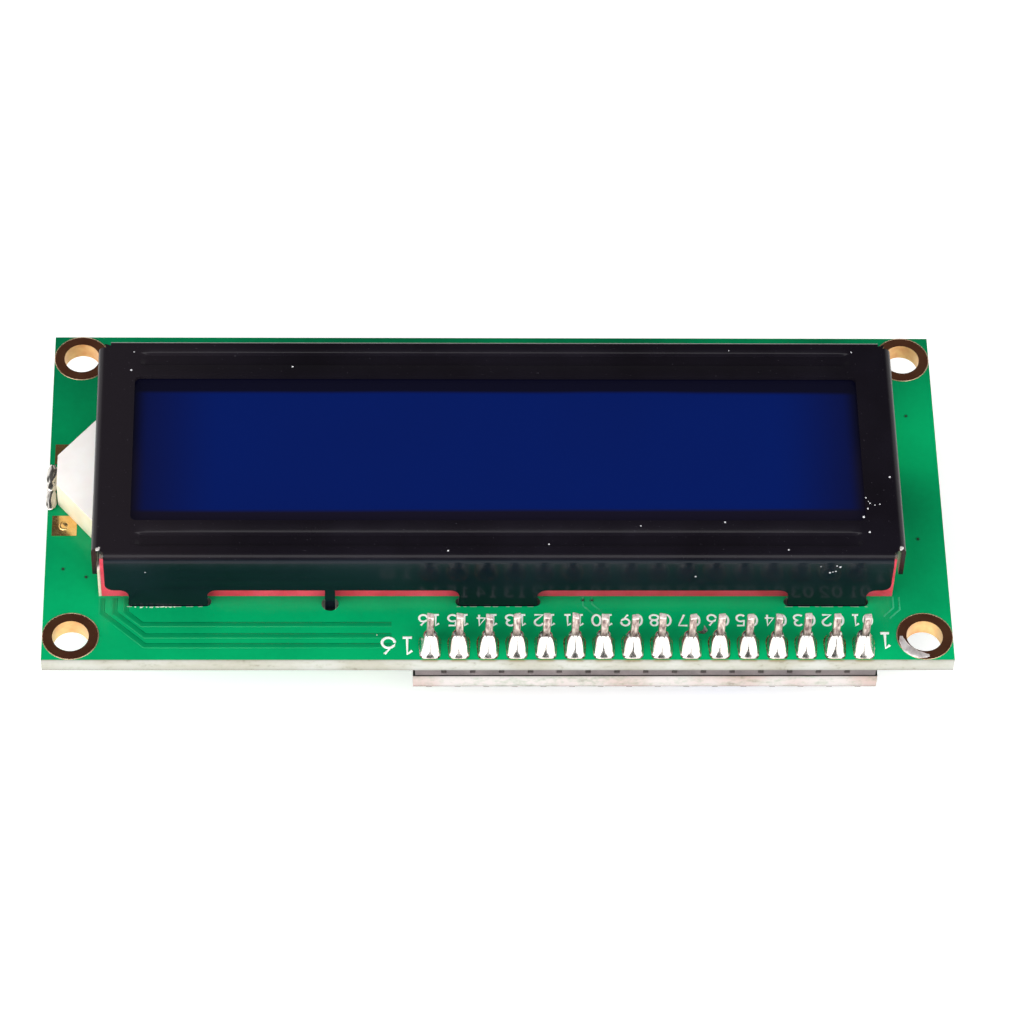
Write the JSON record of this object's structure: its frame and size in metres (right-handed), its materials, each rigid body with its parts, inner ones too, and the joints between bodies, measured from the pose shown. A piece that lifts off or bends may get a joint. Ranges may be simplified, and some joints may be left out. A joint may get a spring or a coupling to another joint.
{
  "type": "character lcd module",
  "caption": "Character display module: black folded bezel round a blue window, green carrier board, row of soldered pins and a serial interface board behind.",
  "frame": {"origin": "centre of the four mounting holes, on the front face of the display board", "axes": "+Z out of the display towards the viewer, +X along the long side towards pin 1, +Y away from the pin header"},
  "size_m": [0.0805, 0.036, 0.0167],
  "materials": {
    "lcd_mask": "solder mask over fibreglass",
    "pack_mask": "solder mask over fibreglass",
    "gold_plate": "gold over copper",
    "bezel_paint": "semi-gloss black",
    "silicone": "satin",
    "white_plastic": "satin",
    "clear_acrylic": "clear",
    "diffuser": "frosted",
    "lamp": "clear resin",
    "display_film": "gloss",
    "display_glass": "clear",
    "solder": "bright tin",
    "pin_metal": "plated",
    "black_plastic": "satin",
    "chip_resin": "satin",
    "glob_resin": "gloss",
    "chip_ceramic": "glazed ends",
    "capacitor": "matt",
    "trimmer_blue": "gloss",
    "rotor_white": "satin",
    "led_lens": "translucent"
  },
  "bodies": {
    "module": {"lcd_board": "lcd_mask", "mounting_hole_plating": "gold_plate", "bezel": "bezel_paint", "front_connector_strip": "silicone", "rear_connector_strip": "silicone", "backlight_frame": "white_plastic", "light_guide": "clear_acrylic", "diffuser_film": "diffuser", "backlight_lamp": "lamp", "backlight_pads": "gold_plate", "backlight_solder": "solder", "rear_polarizer": "display_film", "rear_glass": "display_glass", "front_glass": "display_glass", "front_polarizer": "display_film", "header_housing": "black_plastic", "header_pins": "pin_metal", "lcd_header_pads": "gold_plate", "lcd_solder_joints": "solder", "controller_blob": "glob_resin", "driver_blob": "glob_resin", "lcd_chip_resistors": "chip_ceramic", "backpack_board": "pack_mask", "backpack_header_pads": "gold_plate", "backpack_solder_joints": "solder", "expander_chip": "chip_resin", "expander_leads": "solder", "trimmer_body": "trimmer_blue", "trimmer_pins": "solder", "bus_header_housing": "black_plastic", "bus_header_pins": "pin_metal", "jumper_header_housing": "black_plastic", "jumper_header_pins": "pin_metal", "power_led": "led_lens", "chip_resistors": "chip_ceramic", "chip_capacitors": "capacitor", "transistor_body": "chip_resin", "transistor_leads": "solder", "address_pads": "solder"},
    "rotor": {"trimmer_rotor": "rotor_white"},
    "jumper": {"jumper_cap": "black_plastic", "jumper_clip": "pin_metal"}
  },
  "joints": [
    {"name": "contrast_trimmer", "type": "hinge", "parent": "module", "child": "rotor", "pos_m": [0.0201, -0.00785, -0.0097], "axis": [0, 0, -1], "range_deg": [-130, 130]},
    {"name": "jumper_pull", "type": "slide", "parent": "module", "child": "jumper", "axis": [1, 0, 0], "range_m": [0, 0.0065]}
  ]
}
